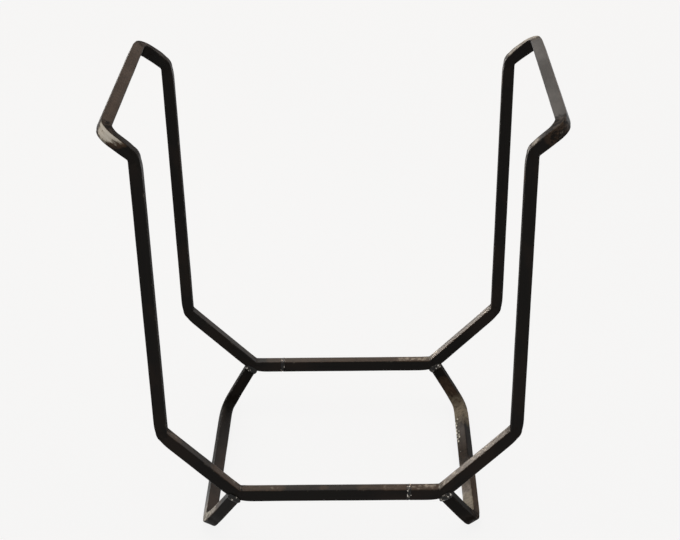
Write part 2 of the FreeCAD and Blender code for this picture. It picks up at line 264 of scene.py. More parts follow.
def rubbed_edges(tree, stock, nearness):
    """Where the lacquer is rubbed off along the bar's edges: faintly, and only in places."""
    edge = add_node(tree, "ShaderNodeMapRange", inputs={
        "Value": nearness, "From Min": HALF_BAR - RUB_BAND[0], "From Max": HALF_BAR - RUB_BAND[1]}).outputs[0]
    places = add_node(tree, "ShaderNodeTexNoise", inputs={
        "Vector": stock, "Scale": 1 / EDGE_PATCH, "Detail": 6.0, "Roughness": 0.7}).outputs["Fac"]
    rubbed = add_node(tree, "ShaderNodeValToRGB", inputs={"Fac": places}, stops=[
        (0.57, NONE), (0.72, FAINT)]).outputs["Color"]
    return add_node(tree, "ShaderNodeMath", {"operation": "MULTIPLY"}, {0: edge, 1: rubbed}).outputs[0]


def edge_chips(tree, stock, nearness, chipped):
    """Chips beside the edges where a foot was knocked, about 4.5 mm long and 1.8 mm wide, one to a cell."""
    space = add_node(tree, "ShaderNodeMapping", inputs={
        "Vector": stock, "Scale": (1 / CHIP_CELL_LENGTH, 1 / CHIP_CELL_WIDTH, 1.0)}).outputs[0]
    cells = add_node(tree, "ShaderNodeTexVoronoi", {"voronoi_dimensions": "2D", "feature": "F1"}, {
        "Vector": space, "Scale": 1.0, "Randomness": 1.0}).outputs
    spot = add_node(tree, "ShaderNodeMapRange", inputs={
        "Value": cells["Distance"], "From Min": 0.38, "From Max": 0.26}).outputs[0]
    draw = add_node(tree, "ShaderNodeSeparateColor", inputs={"Color": cells["Color"]}).outputs[0]
    near = add_node(tree, "ShaderNodeMapRange", inputs={
        "Value": nearness, "From Min": HALF_BAR - CHIP_BAND[0],
        "From Max": HALF_BAR - CHIP_BAND[1]}).outputs[0]
    exposed = add_node(tree, "ShaderNodeMath", {"operation": "MULTIPLY"}, {0: chipped, 1: near}).outputs[0]
    spared = add_node(tree, "ShaderNodeMapRange", inputs={
        "Value": exposed, "To Min": 1.0, "To Max": CHIPS_SPARED}).outputs[0]
    drawn = add_node(tree, "ShaderNodeMath", {"operation": "GREATER_THAN"}, {0: draw, 1: spared}).outputs[0]
    return add_node(tree, "ShaderNodeMath", {"operation": "MULTIPLY"}, {0: spot, 1: drawn}).outputs[0]


def black_lacquered_bar():
    """Hot-rolled steel bar under a thin black lacquer: near black face on, satin where it mirrors light,
    brown where it is rubbed thin and where a warm sheen is painted, flaked at the bends, steel where it is
    rubbed through and where highlights are painted, paler in a highlight's painted core, and pale in chips."""
    material = new_material("black_lacquer_on_hot_rolled_steel")
    tree = material.node_tree
    stock = add_node(tree, "ShaderNodeAttribute", {"attribute_name": "stock"}).outputs["Vector"]
    bent, rub_and_sheen, dull, scuff_and_sheen, chipped = [
        add_node(tree, "ShaderNodeAttribute", {"attribute_name": mark}).outputs["Fac"] for mark in MARKS]
    streaks, patches, grain, flecks = lacquer_patterns(tree, stock)
    nearness = edge_nearness(tree, stock)
    # How far the lacquer is rubbed, and how strong the painted sheen and highlights are, as one level
    rub_and_sheen_level = rubbed_and_painted_sheen(tree, streaks, flecks, rub_and_sheen)

    # Lacquer rubbed thin and brown, and a warm sheen painted in the same brown on faces turned to the light
    sound = sound_lacquer(tree, streaks, patches)
    thin_lacquer_and_sheen = add_node(tree, "ShaderNodeMapRange", inputs={
        "Value": rub_and_sheen_level, "From Min": 0.20, "From Max": 0.55}).outputs[0]
    browned_and_sheen = add_node(tree, "ShaderNodeMix", COLOUR_MIX, {
        SHARE: thin_lacquer_and_sheen, UNDER: sound, OVER: linear("#4b3c30")}).outputs[MIXED]
    # Flakes where bending cracked the scale
    cracked = add_node(tree, "ShaderNodeMath", {"operation": "MULTIPLY"}, {0: flecks, 1: bent}).outputs[0]
    flakes = add_node(tree, "ShaderNodeValToRGB", inputs={"Fac": cracked}, stops=[
        (0.42, NONE), (0.54, FULL)]).outputs["Color"]
    flaked = add_node(tree, "ShaderNodeMix", COLOUR_MIX, {
        SHARE: flakes, UNDER: browned_and_sheen, OVER: linear("#15110e")}).outputs[MIXED]
    # Lacquer scuffed grey where a foot was knocked, and grey as a painted reflection on the upward faces at
    # the front of the right foot's run
    knocked = add_node(tree, "ShaderNodeMath", {"operation": "MULTIPLY"}, {0: flecks, 1: scuff_and_sheen}).outputs[0]
    scuff_and_sheen_share = add_node(tree, "ShaderNodeValToRGB", inputs={"Fac": knocked}, stops=[
        (0.20, NONE), (0.50, FULL)]).outputs["Color"]
    greyed = add_node(tree, "ShaderNodeMix", COLOUR_MIX, {
        SHARE: scuff_and_sheen_share, UNDER: flaked, OVER: linear("#8f8573")}).outputs[MIXED]
    # Bare steel where the lacquer is rubbed through and where highlights are painted, paler in a highlight's
    # painted core
    rubbed_through_and_highlight = add_node(tree, "ShaderNodeMapRange", inputs={
        "Value": rub_and_sheen_level, "From Min": 0.66, "From Max": 0.95, "To Max": 0.9}).outputs[0]
    bare_and_highlight = add_node(tree, "ShaderNodeMath", {"operation": "MAXIMUM"}, {
        0: rubbed_edges(tree, stock, nearness), 1: rubbed_through_and_highlight}).outputs[0]
    polish_and_highlight_core = add_node(tree, "ShaderNodeMapRange", inputs={
        "Value": rub_and_sheen_level, "From Min": 0.90, "From Max": 1.15}).outputs[0]
    steel = add_node(tree, "ShaderNodeMix", COLOUR_MIX, {
        SHARE: polish_and_highlight_core, UNDER: linear("#b8b0a2"), OVER: linear("#cdc6ba")}).outputs[MIXED]
    bared_and_highlight = add_node(tree, "ShaderNodeMix", COLOUR_MIX, {
        SHARE: bare_and_highlight, UNDER: greyed, OVER: steel}).outputs[MIXED]
    # Pale chips on top of all that
    chips = edge_chips(tree, stock, nearness, chipped)
    colour = add_node(tree, "ShaderNodeMix", COLOUR_MIX, {
        SHARE: chips, UNDER: bared_and_highlight, OVER: linear("#e4e1d2")}).outputs[MIXED]

    # Metal where it is bare and where highlights are painted, glossier where the lacquer is thin, rougher
    # where it is flaked or dull
    metallic = add_node(tree, "ShaderNodeMath", {"operation": "MULTIPLY"}, {0: bare_and_highlight, 1: 0.85}).outputs[0]
    gloss = add_node(tree, "ShaderNodeMapRange", inputs={
        "Value": patches, "From Min": 0.35, "From Max": 0.65, "To Min": 0.42, "To Max": 0.33}).outputs[0]
    flake_rough = add_node(tree, "ShaderNodeMath", {"operation": "MULTIPLY_ADD"}, {
        0: flakes, 1: 0.20, 2: gloss}).outputs[0]
    roughness = add_node(tree, "ShaderNodeMath", {"operation": "MULTIPLY_ADD", "use_clamp": True}, {
        0: dull, 1: 0.42, 2: flake_rough}).outputs[0]

    # Bumps of the grain and the rolling, and the step down to bare steel
    peel = add_node(tree, "ShaderNodeBump", inputs={
        "Height": grain, "Strength": 0.35, "Distance": 0.05 * MM}).outputs[0]
    rolled = add_node(tree, "ShaderNodeBump", inputs={
        "Height": streaks, "Strength": 0.45, "Distance": 0.10 * MM, "Normal": peel}).outputs[0]
    stepped = add_node(tree, "ShaderNodeBump", {"invert": True}, {
        "Height": bare_and_highlight, "Strength": 0.5, "Distance": 0.08 * MM, "Normal": rolled}).outputs[0]
    bsdf = add_node(tree, "ShaderNodeBsdfPrincipled", inputs={
        "Base Color": colour, "Metallic": metallic, "Roughness": roughness, "IOR": 1.5,
        "Specular IOR Level": 0.10, "Normal": stepped}).outputs[0]
    add_node(tree, "ShaderNodeOutputMaterial", inputs={"Surface": bsdf})
    return material


def weld_steel(name, bright_from):
    """Mild steel weld metal, as it froze: dark oxide, with bright metal in random specks that also stand in
    for glints, and painted glints along the tops of the fillet beads. bright_from is the level of the oxide
    pattern above which the oxide gives way to clean metal."""
    material = new_material(name)
    tree = material.node_tree
    place = add_node(tree, "ShaderNodeTexCoord").outputs["Object"]
    oxide = add_node(tree, "ShaderNodeTexNoise", inputs={
        "Vector": place, "Scale": 1 / OXIDE_SIZE, "Detail": 3.0, "Roughness": 0.55}).outputs["Fac"]
    pits = add_node(tree, "ShaderNodeTexNoise", inputs={
        "Vector": place, "Scale": 1 / PIT_SIZE, "Detail": 3.0, "Roughness": 0.6}).outputs["Fac"]
    crest_glint = add_node(tree, "ShaderNodeAttribute", {"attribute_name": "crest_glint"}).outputs["Fac"]
    # The oxide pattern, raised along the beads' tops by the painted glints: the metal is bright where this is
    # high
    rubbed = add_node(tree, "ShaderNodeMath", {"operation": "MULTIPLY_ADD"}, {
        0: crest_glint, 1: CREST_GLINT, 2: oxide}).outputs[0]
    colour = add_node(tree, "ShaderNodeValToRGB", inputs={"Fac": rubbed}, stops=[
        (bright_from - 0.08, linear("#110f0d")), (bright_from, linear("#4a443c")),
        (bright_from + 0.08, linear("#dcd7ce"))]).outputs["Color"]
    metallic = add_node(tree, "ShaderNodeMapRange", inputs={
        "Value": rubbed, "From Min": bright_from - 0.06, "From Max": bright_from + 0.04}).outputs[0]
    roughness = add_node(tree, "ShaderNodeMapRange", inputs={
        "Value": pits, "From Min": 0.3, "From Max": 0.7, "To Min": 0.16, "To Max": 0.40}).outputs[0]
    rough_skin = add_node(tree, "ShaderNodeBump", inputs={
        "Height": pits, "Strength": 0.5, "Distance": 0.08 * MM}).outputs[0]
    bsdf = add_node(tree, "ShaderNodeBsdfPrincipled", inputs={
        "Base Color": colour, "Metallic": metallic, "Roughness": roughness,
        "Specular IOR Level": 0.25, "Normal": rough_skin}).outputs[0]
    add_node(tree, "ShaderNodeOutputMaterial", inputs={"Surface": bsdf})
    return material


BLACK_BAR = black_lacquered_bar()
# The front butt weld shows more bright metal specks than the rear one; they stand in for glints as well as
# bare metal
BUTT_WELD = {
    "front": weld_steel("blackened_mild_steel_front_butt_weld", 0.58),
    "rear": weld_steel("blackened_mild_steel_rear_butt_weld", 0.64),
}
FILLET_WELD = weld_steel("blackened_mild_steel_fillet_weld", 0.66)


def finish_piece(bm, name, node, material):
    """Makes the bmesh a smooth-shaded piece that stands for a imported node."""
    bmesh.ops.recalc_face_normals(bm, faces=bm.faces)
    for face in bm.faces:
        face.smooth = True
    mesh = bpy.data.meshes.new(name)
    bm.to_mesh(mesh)
    bm.free()
    mesh.materials.append(material)
    piece = bpy.data.objects.new(name, mesh)
    bpy.context.scene.collection.objects.link(piece)
    flats = piece.modifiers.new("even_flats", "WEIGHTED_NORMAL")
    flats.mode = "FACE_AREA"
    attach(piece, "root")
    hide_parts(node)


def bar_section(bm, stock, place, heading, across):
    """The bar's section as a ring of edges: a square with rounded corners, square to its heading."""
    square = bmesh.ops.create_grid(bm, x_segments=1, y_segments=1, size=HALF_BAR)["verts"]
    bmesh.ops.bevel(bm, geom=square, offset=EDGE_ROUND, segments=ROUND_SEGMENTS, profile=0.5,
                    affect="VERTICES", material=-1)
    flats = [edge for edge in bm.edges if edge.calc_length() > HALF_BAR]
    bmesh.ops.subdivide_edges(bm, edges=flats, cuts=FACE_CUTS)
    bmesh.ops.delete(bm, geom=bm.faces[:], context="FACES_ONLY")
    for vert in bm.verts:
        vert[stock] = (0.0, vert.co.x, vert.co.y)
    up = heading.cross(across)
    turn = Matrix((across, up, heading)).transposed().to_4x4()
    bmesh.ops.transform(bm, matrix=Matrix.Translation(place) @ turn, verts=bm.verts)
    return bm.edges[:]


def ring_of(made):
    """The edges and the vertices of the new ring in what an operator made."""
    verts = [item for item in made if isinstance(item, bmesh.types.BMVert)]
    kept = set(verts)
    edges = [item for item in made if isinstance(item, bmesh.types.BMEdge) and kept.issuperset(item.verts)]
    return edges, verts


def extrude_run(bm, edges, rings, way, steps):
    """Extrudes the last ring along a straight way. Adds each new ring, with its place along the stock, to the
    list of rings, and gives the last one's edges."""
    step = way / steps
    for _ in range(steps):
        edges, verts = ring_of(bmesh.ops.extrude_edge_only(bm, edges=edges)["geom"])
        bmesh.ops.translate(bm, vec=step, verts=verts)
        rings.append((rings[-1][0] + step.length, verts))
    return edges


def spin_bend(bm, edges, rings, centre, axis, angle, radius):
    """Spins the last ring round a bend. Adds each new ring, with its place along the stock, to the list of
    rings, and gives the last one's edges."""
    for _ in range(BEND_STEPS):
        along, verts = rings[-1]
        spun = bmesh.ops.spin(bm, geom=verts + edges, cent=centre, axis=axis,
                              angle=angle / BEND_STEPS, steps=1, use_duplicate=False)
        edges, verts = ring_of(spun["geom_last"])
        rings.append((along + radius * angle / BEND_STEPS, verts))
    return edges


def close_ends(bm, first, last):
    """Caps a swept bar at both ends."""
    for ring in (first, last):
        bmesh.ops.contextual_create(bm, geom=ring)


def bend_at(before, corner, after, radius):
    """Where a bend at a corner starts and ends, and its centre, axis and angle."""
    heading = (corner - before).normalized()
    leaving = (after - corner).normalized()
    angle = heading.angle(leaving)
    axis = heading.cross(leaving).normalized()
    tangent = radius * math.tan(angle / 2)
    start = corner - heading * tangent
    return start, corner + leaving * tangent, start + axis.cross(heading) * radius, axis, angle


def bend_share(along, bend, reach):
    """One inside a bend, falling to nought at a reach along the straight bar."""
    start, end = bend[:2]
    away = max(start - along, along - end, 0.0)
    return max(0.0, 1.0 - away / reach)


def mark_stock(bm, rings, bends):
    """Gives every vertex its place along the straight stock, and marks how near to a bend it lies."""
    stock = bm.verts.layers.float_vector["stock"]
    bent = bm.verts.layers.float["bent"]
    for along, verts in rings:
        share = max(bend_share(along, bend, FLAKE_REACH) for bend in bends)
        for vert in verts:
            vert[stock] = (along, vert[stock].y, vert[stock].z)
            vert[bent] = share


def swell_bends(rings, bends):
    """In a tight bend the metal on the inside is pushed out to both sides, and the outside is drawn in."""
    for bend in bends:
        centre, axis = bend[2:]
        for along, verts in rings:
            share = bend_share(along, bend, SWELL_REACH) ** 2
            if not share:
                continue
            middle = sum((vert.co for vert in verts), Vector()) / len(verts)
            inward = centre - middle
            inward = (inward - axis * inward.dot(axis)).normalized()
            for vert in verts:
                offset = vert.co - middle
                inside = (offset.dot(inward) / HALF_BAR + 1) / 2
                vert.co += axis * (offset.dot(axis) / HALF_BAR) * BEND_SWELL * share * inside
                vert.co += inward * BEND_DRAW * share * (1 - inside)


def turn_run(bm, rings, bends, turn):
    """Turns the bar a little between the two middle bends, of a handle or a foot, which were bent by hand."""
    middle_bend = len(bends) // 2
    start, end = bends[middle_bend - 1][0], bends[middle_bend][1]
    middles = [sum((vert.co for vert in verts), Vector()) / len(verts) for _, verts in rings]
    for index, (along, verts) in enumerate(rings):
        ramp = min(1.0, max(0.0, min(along - start, end - along) / TURN_RAMP))
        if ramp:
            heading = (middles[index + 1] - middles[index - 1]).normalized()
            share = ramp * ramp * (3 - 2 * ramp)
            twist = Matrix.Rotation(turn * share, 3, heading)
            bmesh.ops.rotate(bm, verts=verts, cent=middles[index], matrix=twist)


def make_uneven(bm):
    """Makes the faces of the bar slightly uneven, as rolling and bending leave them."""
    stock = bm.verts.layers.float_vector["stock"]
    bmesh.ops.recalc_face_normals(bm, faces=bm.faces)
    bm.normal_update()
    for vert in bm.verts:
        at = vert[stock]
        lumps = Vector((at.x / UNEVEN_LENGTH, at.y / UNEVEN_WIDTH, at.z / UNEVEN_WIDTH))
        vert.co += vert.normal * noise.noise(lumps) * UNEVEN


def sweep_bar(points, radii, across, turn):
    """A bar bent along a line of points, with a bend of a given radius at each point between its ends."""
    bm = bmesh.new()
    stock = bm.verts.layers.float_vector.new("stock")
    for mark in MARKS:
        bm.verts.layers.float.new(mark)
    first = bar_section(bm, stock, points[0], (points[1] - points[0]).normalized(), across)
    edges = first
    rings = [(0.0, bm.verts[:])]
    bends = []
    place = points[0]
    for index, radius in enumerate(radii, start=1):
        start, end, centre, axis, angle = bend_at(*points[index - 1:index + 2], radius)
        way = start - place
        edges = extrude_run(bm, edges, rings, way, max(1, round(way.length / RING_STEP)))
        along = rings[-1][0]
        bends.append((along, along + radius * angle, centre, axis))
        edges = spin_bend(bm, edges, rings, centre, axis, angle, radius)
        place = end
    way = points[-1] - place
    edges = extrude_run(bm, edges, rings, way, max(1, round(way.length / RING_STEP)))
    close_ends(bm, first, edges)
    mark_stock(bm, rings, bends)
    swell_bends(rings, bends)
    if turn:
        turn_run(bm, rings, bends, turn)
    make_uneven(bm)
    return bm


def on_hoop(side, corner, y):
    """A corner of a hoop's centre line."""
    return Vector((side * corner[0], y, BOTTOM_Z + corner[1]))


def hoop(side):
    """One bent bar: a stub of one bottom bar, up one corner, round the handle, down, and along the other."""
    stub = (SEAM_X + SEAM_GAP / 2, 0.0)
    tail = (-SEAM_X + SEAM_GAP / 2, 0.0)
    rise = (CORNER, ELBOW, NECK, HANDLE)
    points = [on_hoop(side, corner, -side * LINE_Y) for corner in (stub, *rise)]
    points += [on_hoop(side, corner, side * LINE_Y) for corner in (*reversed(rise), tail)]
    radii = [CORNER_BEND, ELBOW_BEND, NECK_BEND, HANDLE_BEND]
    return sweep_bar(points, radii + radii[::-1], TO_REAR, HANDLE_TURN[side])


def corner_centre(side):
    """The centre of the bend at a bottom corner, in the rack's middle plane."""
    before = Vector((0.0, 0.0, BOTTOM_Z))
    return bend_at(before, on_hoop(side, CORNER, 0.0), on_hoop(side, ELBOW, 0.0), CORNER_BEND)[2]


def splay(side):
    """The way from a bottom corner down its foot's tilted plane, and the way square to it, outwards."""
    down = Vector((side * math.sin(FOOT_SPLAY), 0.0, -math.cos(FOOT_SPLAY)))
    level = Vector((side * math.cos(FOOT_SPLAY), 0.0, math.sin(FOOT_SPLAY)))
    return down, level


def foot(side):
    """A shallow U of bar in a tilted plane. Its legs are cut to the corners, and its lower edge is dressed
    flat."""
    down, level = splay(side)
    centre = corner_centre(side)
    corner_reach = (HALF_BAR - EDGE_ROUND) * (math.cos(FOOT_SPLAY) + math.sin(FOOT_SPLAY))
    stand = corner_reach + EDGE_ROUND - FOOT_FLAT
    reach = (centre.z - stand) / math.cos(FOOT_SPLAY)
    cut = CORNER_BEND + HALF_BAR + FOOT_GAP
    tops = [centre + down * cut + TO_REAR * y for y in (-LINE_Y, LINE_Y)]
    toes = [centre + down * reach + TO_REAR * y for y in (-TOE_Y, TOE_Y)]
    spare = [(top - toe).normalized() * BAR_SIDE for top, toe in zip(tops, toes)]
    points = [tops[0] + spare[0], *toes, tops[1] + spare[1]]
    bm = sweep_bar(points, [TOE_BEND, TOE_BEND], level, FOOT_TURN[side])
    for point, away in ((centre + down * cut, -down), (Vector(), -UP)):
        every = bm.verts[:] + bm.edges[:] + bm.faces[:]
        bmesh.ops.bisect_plane(bm, geom=every, plane_co=point, plane_no=away, clear_outer=True)
        bmesh.ops.holes_fill(bm, edges=[edge for edge in bm.edges if edge.is_boundary], sides=0)
    bm.normal_update()
    return bm


# Ways that the rubbed places and the painted highlights face
SLANT_UP = {
    side: Vector((-side * ELBOW[1], 0.0, ELBOW[0] - CORNER[0])).normalized() for side, _ in SIDES}
CORNER_UP = {side: (SLANT_UP[side] + UP).normalized() for side, _ in SIDES}
RUN_UP = -splay(1)[0]
RUN_OUT = splay(1)[1]
LEFT_TOE_OUT = Vector((-0.83, 0.0, 0.56))
REAR_TOE_UP = Vector((-0.40, -0.50, 0.77))
LEFT_CORNER_OUT = Vector((-0.50, -0.80, 0.33))
RIGHT_FRONT_UP = Vector((0.0, -0.70, 0.71))
RIGHT_REAR_UP = Vector((-0.45, 0.30, 0.84))
NECK_IN = Vector((-0.86, 0.0, 0.50))

# Where the rubbed places and the painted highlights lie on the feet, and beside the centre lines of the hoops
ABOVE_HANDLE = UP * 20.0 * MM
BELOW_NECK = UP * 26.0 * MM
SLANT_FRONT_Y = REAR_Y - 16.0 * MM
RUN_X = {1: 139.0 * MM, -1: -138.0 * MM}
REAR_LEG_FOOT = Vector((123.0 * MM, 138.0 * MM, 28.0 * MM))

# How far rubbing and painted sheen reach to cover the top of a bar, and how sharply they end there
TOP_REACH = 12.0 * MM
WEAR_FALL = 4


def on_bottom(x, y):
    """A point on the centre line of a bottom bar, x in millimetres from the rack's middle."""
    return Vector((x * MM, y, BOTTOM_Z))


def on_slant(side, share, y):
    """A point on the centre line of a slant, a share of the way from its corner to its elbow."""
    x = CORNER[0] + (ELBOW[0] - CORNER[0]) * share
    return Vector((side * x, y, BOTTOM_Z + ELBOW[1] * share))


def on_handle_leg(side, share, y):
    """A point on the centre line between a handle's corner and its neck, a share of the way down."""
    x = HANDLE[0] + (NECK[0] - HANDLE[0]) * share
    return Vector((side * x, y, BOTTOM_Z + HANDLE[1] + (NECK[1] - HANDLE[1]) * share))


def on_run(side, y):
    """A point in the bar of a foot's run, near its centre line."""
    return Vector((RUN_X[side], y, HALF_BAR))


# Rubbed lacquer, and painted highlights and sheen, lighter the more a face turns the given way:
# a strip from one point to another, its reach, the way it faces, and its depth
RUBBED_AND_PAINTED_SHEEN = [
    # The left handle's front corner and the leg under it: a painted highlight, brightest along the upper
    # edge, drawn as lacquer rubbed through to pale steel
    (on_handle_leg(-1, -0.3, FRONT_Y) + ABOVE_HANDLE, on_handle_leg(-1, 0.45, FRONT_Y) + ABOVE_HANDLE,
     27.0 * MM, LEFT_CORNER_OUT, 1.30),
    # The left handle's top, browned by hands and by a painted warm sheen
    (on_handle_leg(-1, 0.0, FRONT_Y), on_handle_leg(-1, 0.0, REAR_Y), 15.0 * MM, UP, 0.50),
    # The right handle's corners and the legs under them, rubbed, and lighter as painted highlights
    (on_handle_leg(1, -0.2, FRONT_Y), on_handle_leg(1, 0.2, FRONT_Y), 19.0 * MM, RIGHT_FRONT_UP, 0.74),
    (on_handle_leg(1, 0.0, REAR_Y), on_handle_leg(1, 0.5, REAR_Y), 24.0 * MM, RIGHT_REAR_UP, 0.84),
    # The tops of the bottom bars, rubbed, and lighter as a painted sheen
    (on_bottom(-104, FRONT_Y), on_bottom(-64, FRONT_Y), TOP_REACH, UP, 0.63),
    (on_bottom(-50, FRONT_Y), on_bottom(20, FRONT_Y), TOP_REACH, UP, 0.24),
    (on_bottom(-18, FRONT_Y), on_bottom(-16, FRONT_Y), 9.0 * MM, UP, 0.70),
    (on_bottom(24, FRONT_Y), on_bottom(44, FRONT_Y), TOP_REACH, UP, 0.46),
    (on_bottom(48, FRONT_Y), on_bottom(66, FRONT_Y), TOP_REACH, UP, 0.70),
    (on_bottom(78, FRONT_Y), on_bottom(108, FRONT_Y), TOP_REACH, UP, 0.80),
    (on_bottom(-84, REAR_Y), on_bottom(70, REAR_Y), 13.0 * MM, UP, 0.52),
    (on_bottom(70, REAR_Y), on_bottom(108, REAR_Y), 13.0 * MM, UP, 0.78),
    # The front left corner, up to a third of its slant, and a patch below its elbow
    (on_slant(-1, 0.0, FRONT_Y), on_slant(-1, 0.34, FRONT_Y), TOP_REACH, CORNER_UP[-1], 0.72),
    (on_slant(-1, 0.86, FRONT_Y), on_slant(-1, 0.96, FRONT_Y), TOP_REACH, SLANT_UP[-1], 0.66),
    # The left foot's front toe, and the ends, the middle and the outer side of the right foot's run; on the
    # left toe and the front of the right run this is a painted reflection
    (on_run(-1, -TOE_Y), on_run(-1, -TOE_Y), 46.0 * MM, LEFT_TOE_OUT, 0.85),
    (on_run(1, -55.0 * MM), on_run(1, -125.0 * MM), 20.0 * MM, RUN_UP, 0.58),
    (on_run(1, -40.0 * MM), on_run(1, 80.0 * MM), 16.0 * MM, RUN_UP, 0.32),
    (on_run(1, 100.0 * MM), REAR_LEG_FOOT, 19.0 * MM, REAR_TOE_UP, 0.62),
    (on_run(1, -20.0 * MM), on_run(1, -TOE_Y), 22.0 * MM, RUN_OUT, 0.46),
    # The front right slant, all across, and the rear right slant, along its front edge: a painted sheen on
    # their upward faces, with some rubbing
    (on_slant(1, 0.0, FRONT_Y), on_slant(1, 1.0, FRONT_Y), TOP_REACH, SLANT_UP[1], 0.72),
    (on_slant(1, 0.0, SLANT_FRONT_Y), on_slant(1, 1.0, SLANT_FRONT_Y), 23.0 * MM, SLANT_UP[1], 0.72),
]
for bar_y in (FRONT_Y, REAR_Y):
    RUBBED_AND_PAINTED_SHEEN += [
        # The ends of the right slants, and the left slants, which have little rubbing and little painted
        # sheen
        (on_slant(1, 0.0, bar_y), on_slant(1, 0.12, bar_y), 13.0 * MM, CORNER_UP[1], 0.80),
        (on_slant(1, 0.84, bar_y), on_slant(1, 0.95, bar_y), 13.0 * MM, SLANT_UP[1], 0.68),
        (on_slant(-1, 0.0, bar_y), on_slant(-1, 1.0, bar_y), TOP_REACH, SLANT_UP[-1], 0.30),
        # The inner side of the right necks: a painted highlight
        (on_handle_leg(1, 0.8, bar_y), on_handle_leg(1, 1.0, bar_y) - BELOW_NECK, 11.0 * MM, NECK_IN, 0.95),
    ]

# Where the right foot is scuffed near the rear end of its run, where the upward faces at its front end are
# greyed as a painted reflection, and where it is chipped
SCUFF_Y = 104.0 * MM
SCUFF_SPREAD = 62.0 * MM
SCUFF_HEIGHT = 38.0 * MM
FRONT_SCUFF_AND_SHEEN_Y = -100.0 * MM
CHIP_Y = 52.0 * MM
CHIP_SPREAD = 44.0 * MM

# Where dust, logs and hands have dulled the bars
DULL_Y = 5.0 * MM
DULL_SPREAD = 80.0 * MM
DULL_FALL = 6
NECK_SHINE = 45.0 * MM
HANDLE_DULL = 0.6
TOE_SHINE = 0.6


def around(place, middle, spread):
    """One at a middle, falling to nought at a spread away from it."""
    return max(0.0, 1.0 - abs(place - middle) / spread)


def mark_rub_and_sheen(bm):
    """Marks how far hands and logs have rubbed the lacquer, and where sheen and highlights are painted, on
    faces turned the listed ways.
    """
    rub_and_sheen = bm.verts.layers.float["rub_and_sheen"]
    for vert in bm.verts:
        for start, end, reach, facing, depth in RUBBED_AND_PAINTED_SHEEN:
            turned = vert.normal.dot(facing)
            if turned <= 0.0:
                continue
            nearest = start
            if start != end:
                share = geometry.intersect_point_line(vert.co, start, end)[1]
                nearest = start.lerp(end, min(1.0, max(0.0, share)))
            near = max(0.0, 1.0 - ((vert.co - nearest).length / reach) ** WEAR_FALL)
            vert[rub_and_sheen] = max(vert[rub_and_sheen], depth * near * turned)


def knock_right_foot(bm):
    """Marks the ends of the right foot's run: the rear, where logs and boots have scraped it, and the upward
    faces at the front, greyed as a painted reflection; and one half of its upper side, towards the rear,
    where they have chipped it."""
    stock = bm.verts.layers.float_vector["stock"]
    scuff_and_sheen = bm.verts.layers.float["scuff_and_sheen"]
    chipped = bm.verts.layers.float["chipped"]
    dull = bm.verts.layers.float["dull"]
    for vert in bm.verts:
        upward = max(0.0, vert.normal.dot(RUN_UP))
        low = min(1.0, 2 * around(vert.co.z, 0.0, SCUFF_HEIGHT))
        rear = low * around(vert.co.y, SCUFF_Y, SCUFF_SPREAD)
        # Scuffs at the rear; at the front, a painted reflection on the upward faces
        vert[scuff_and_sheen] = max(rear, around(vert.co.y, FRONT_SCUFF_AND_SHEEN_Y, SCUFF_SPREAD) * upward)
        vert[dull] = max(vert[dull], rear)
        if vert[stock].y < 0.0:
            vert[chipped] = around(vert.co.y, CHIP_Y, CHIP_SPREAD) * upward


def dull_hoop(bm, side):
    """Marks the inner faces of the uprights below their necks, which logs and bark have dulled, and the left
    handle's top, which hands have."""
    dull = bm.verts.layers.float["dull"]
    inward = Vector((-side, 0.0, 0.0))
    neck_z = BOTTOM_Z + NECK[1]
    for vert in bm.verts:
        below = min(1.0, max(0.0, (neck_z - vert.co.z) / NECK_SHINE))
        vert[dull] = below * max(0.0, vert.normal.dot(inward)) ** DULL_FALL
        if side == -1 and vert.co.z > neck_z:
            vert[dull] = max(vert[dull], HANDLE_DULL * max(0.0, vert.normal.z))


def dull_foot(bm, side):
    """Marks what dust and brooms have dulled: the outer and front faces of the feet, but for the left one's
    front toe, and the middle of the right one's run."""
    dull = bm.verts.layers.float["dull"]
    level = splay(side)[1]
    for vert in bm.verts:
        outer = max(0.0, vert.normal.dot(level), -vert.normal.y)
        if side == 1:
            vert[dull] = max(around(vert.co.y, DULL_Y, DULL_SPREAD), outer)
        else:
            vert[dull] = outer * min(1.0, max(0.0, vert.co.y / TOE_Y + TOE_SHINE))


def seam_weld(side):
    """A butt weld dressed low: an uneven band round the bar, sunk into it at both ends and grooved in places
    along the seam."""
    bm = bmesh.new()
    stock = bm.verts.layers.float_vector.new("stock")
    middle = Vector((side * SEAM_X, -side * LINE_Y, BOTTOM_Z))
    heading = Vector((side, 0.0, 0.0))
    first = bar_section(bm, stock, middle - heading * SEAM_WIDTH / 2, heading, Vector((0.0, side, 0.0)))
    rings = [(0.0, bm.verts[:])]
    last = extrude_run(bm, first, rings, heading * SEAM_WIDTH, SEAM_STEPS)
    close_ends(bm, first, last)
    elsewhere = Vector((side, RAGGED_SHIFT, 0.0))
    for index, (_, verts) in enumerate(rings):
        level = 2 * index / SEAM_STEPS - 1
        body = 1 - level ** 2
        crown = SEAM_CROWN * ((1 + SEAM_SINK) * body - SEAM_SINK)
        groove = SEAM_GROOVE * math.exp(-(level * SEAM_WIDTH / SEAM_GAP) ** 2)
        for vert in verts:
            spot = vert.co - middle
            outward = Vector((0.0, spot.y, spot.z)).normalized()
            lump = noise.noise(spot / SEAM_LUMP) * SEAM_RAGGED
            open_here = max(0.0, noise.noise(spot / (2 * SEAM_LUMP)) + SEAM_FILL)
            vert.co += outward * (crown + lump * body - groove * open_here)
            vert.co += heading * noise.noise(spot / SEAM_LUMP + elsewhere) * 2 * SEAM_RAGGED
    return bm


